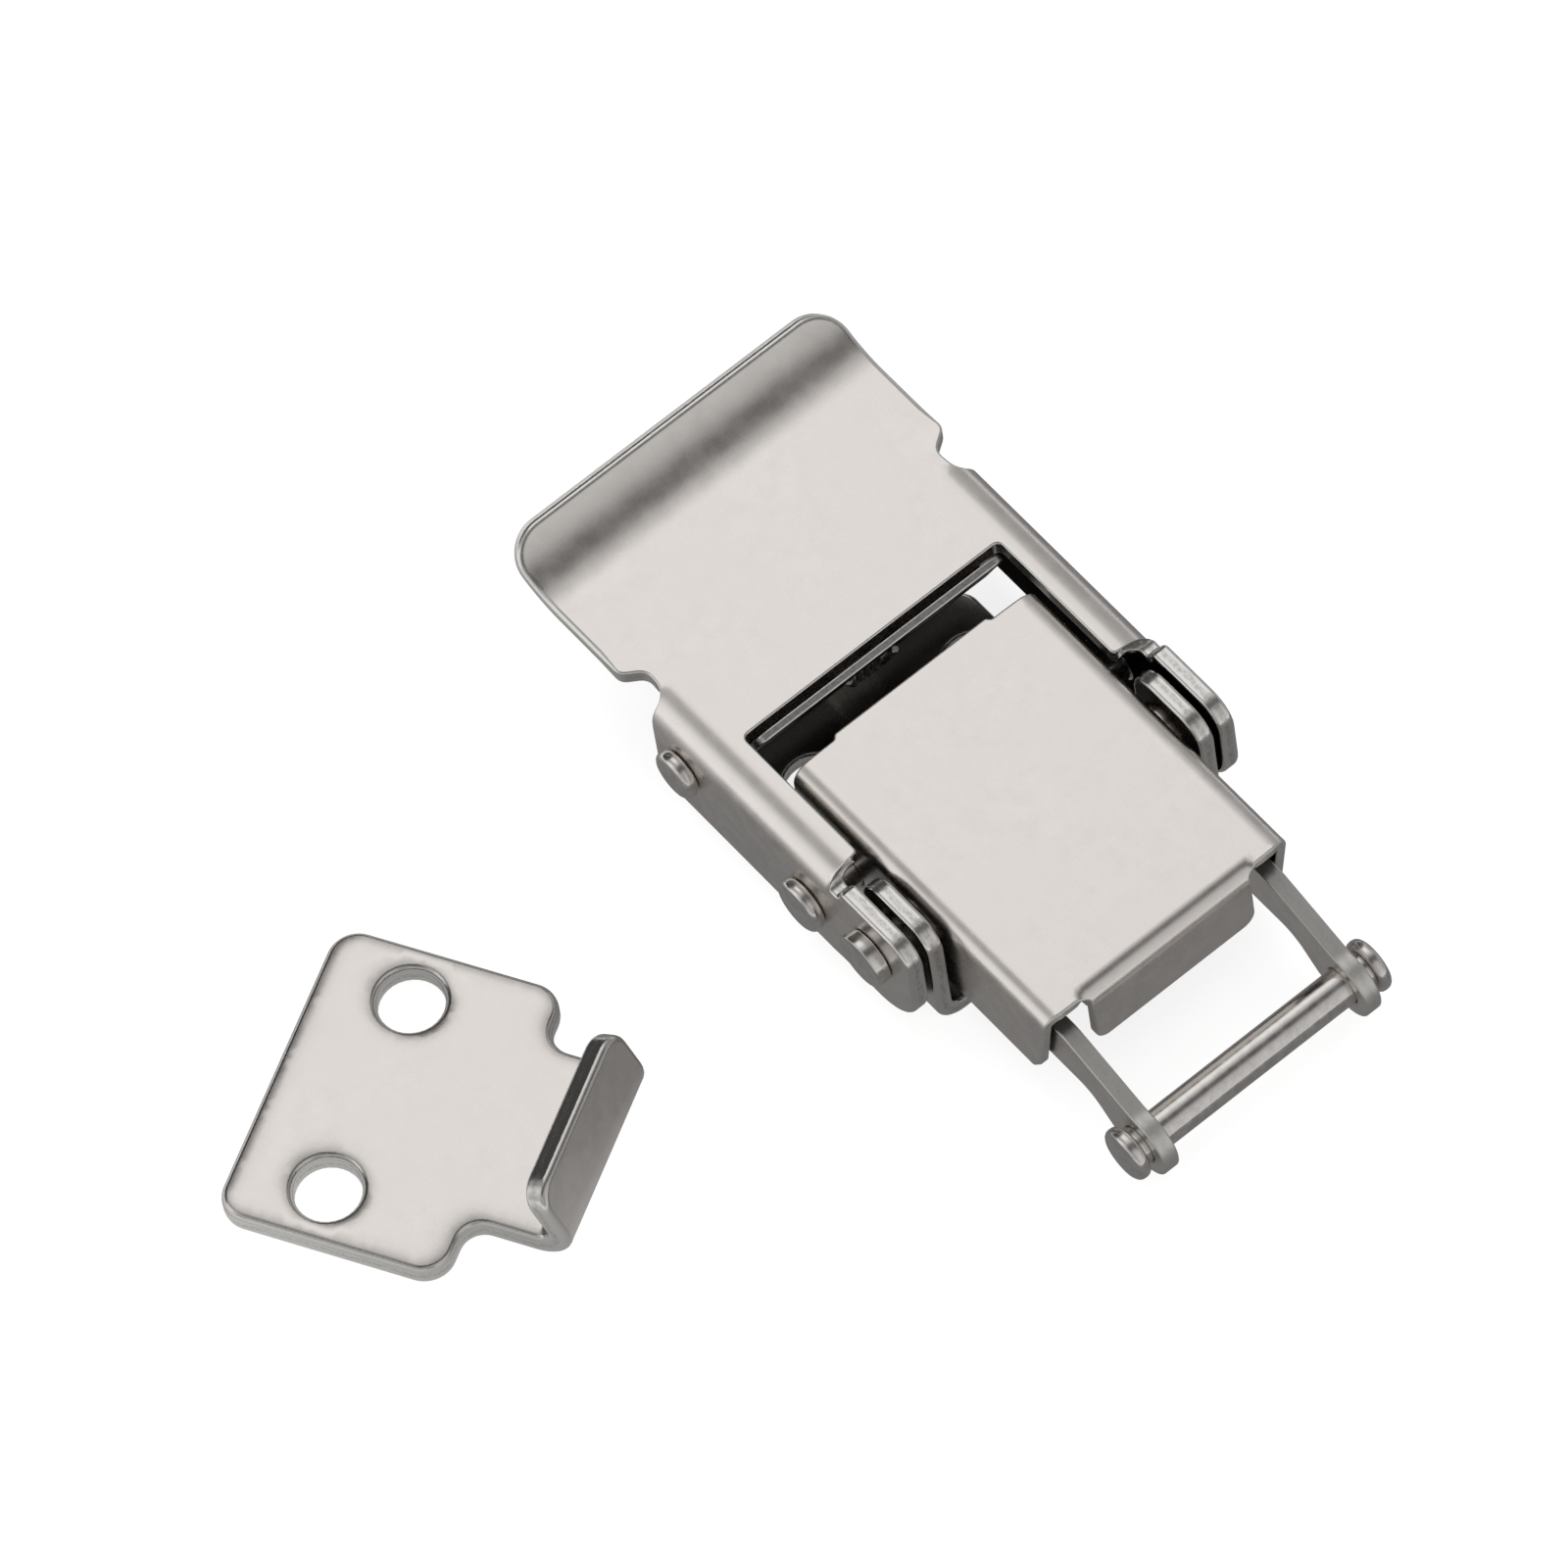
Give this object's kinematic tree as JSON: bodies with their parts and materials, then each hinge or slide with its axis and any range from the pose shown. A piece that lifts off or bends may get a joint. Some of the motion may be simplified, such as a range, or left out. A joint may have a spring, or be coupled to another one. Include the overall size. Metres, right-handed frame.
{
  "type": "toggle latch",
  "caption": "Over-centre toggle latch of folded stainless sheet with a window lever, sprung draw bracket and its hook-plate keeper.",
  "frame": {"origin": "centre of the base's underside, which is also the centre of its four screw holes", "axes": "+Z away from the mounting face, +X along the pull, from the base towards the front pin"},
  "size_m": [0.0583, 0.0672, 0.0123],
  "materials": {
    "sheet": "tumbled",
    "pins": "turned",
    "spring_steel": "drawn wire"
  },
  "bodies": {
    "mounting": {"base": "sheet", "pivot_rivet_near": "pins", "pivot_rivet_far": "pins", "keeper": "sheet"},
    "lever": {"lever": "sheet", "draw_pin": "pins", "rear_pin": "pins", "catch_spring": "spring_steel"},
    "catch": {"catch_plate": "spring_steel"},
    "case": {"case": "sheet", "draw_spring_near": "spring_steel", "draw_spring_far": "spring_steel"},
    "draw": {"draw_bracket": "sheet", "spring_guide_near": "pins", "spring_guide_far": "pins"},
    "front_pin": {"front_pin": "pins"}
  },
  "joints": [
    {"name": "lever_hinge", "type": "hinge", "parent": "mounting", "child": "lever", "pos_m": [0.0076, 0, 0.00625], "axis": [0, 1, 0], "range_deg": [0, 100]},
    {"name": "case_hinge", "type": "hinge", "parent": "lever", "child": "case", "pos_m": [0.00115, 0, 0.00455], "axis": [0, 1, 0], "range_deg": [-100, 0]},
    {"name": "catch_hinge", "type": "hinge", "parent": "lever", "child": "catch", "pos_m": [-0.01085, 0, 0.0054], "axis": [0, 1, 0], "range_deg": [0, 15], "stiffness_Nm_per_rad": 0.01, "springref_deg": -14.9, "deforming": ["catch_spring"]},
    {"name": "draw_slide", "type": "slide", "parent": "case", "child": "draw", "axis": [1, 0, 0], "range_m": [0, 0.003], "stiffness_N_per_m": 2000, "springref_m": -0.002, "deforming": ["draw_spring_near", "draw_spring_far"]},
    {"name": "front_pin_spin", "type": "hinge", "parent": "draw", "child": "front_pin", "pos_m": [0.0276, 0, 0.0032], "axis": [0, 1, 0], "continuous": true}
  ],
  "couplings": [
    {"joint": "case_hinge", "follows": "lever_hinge", "ratio": -1}
  ]
}
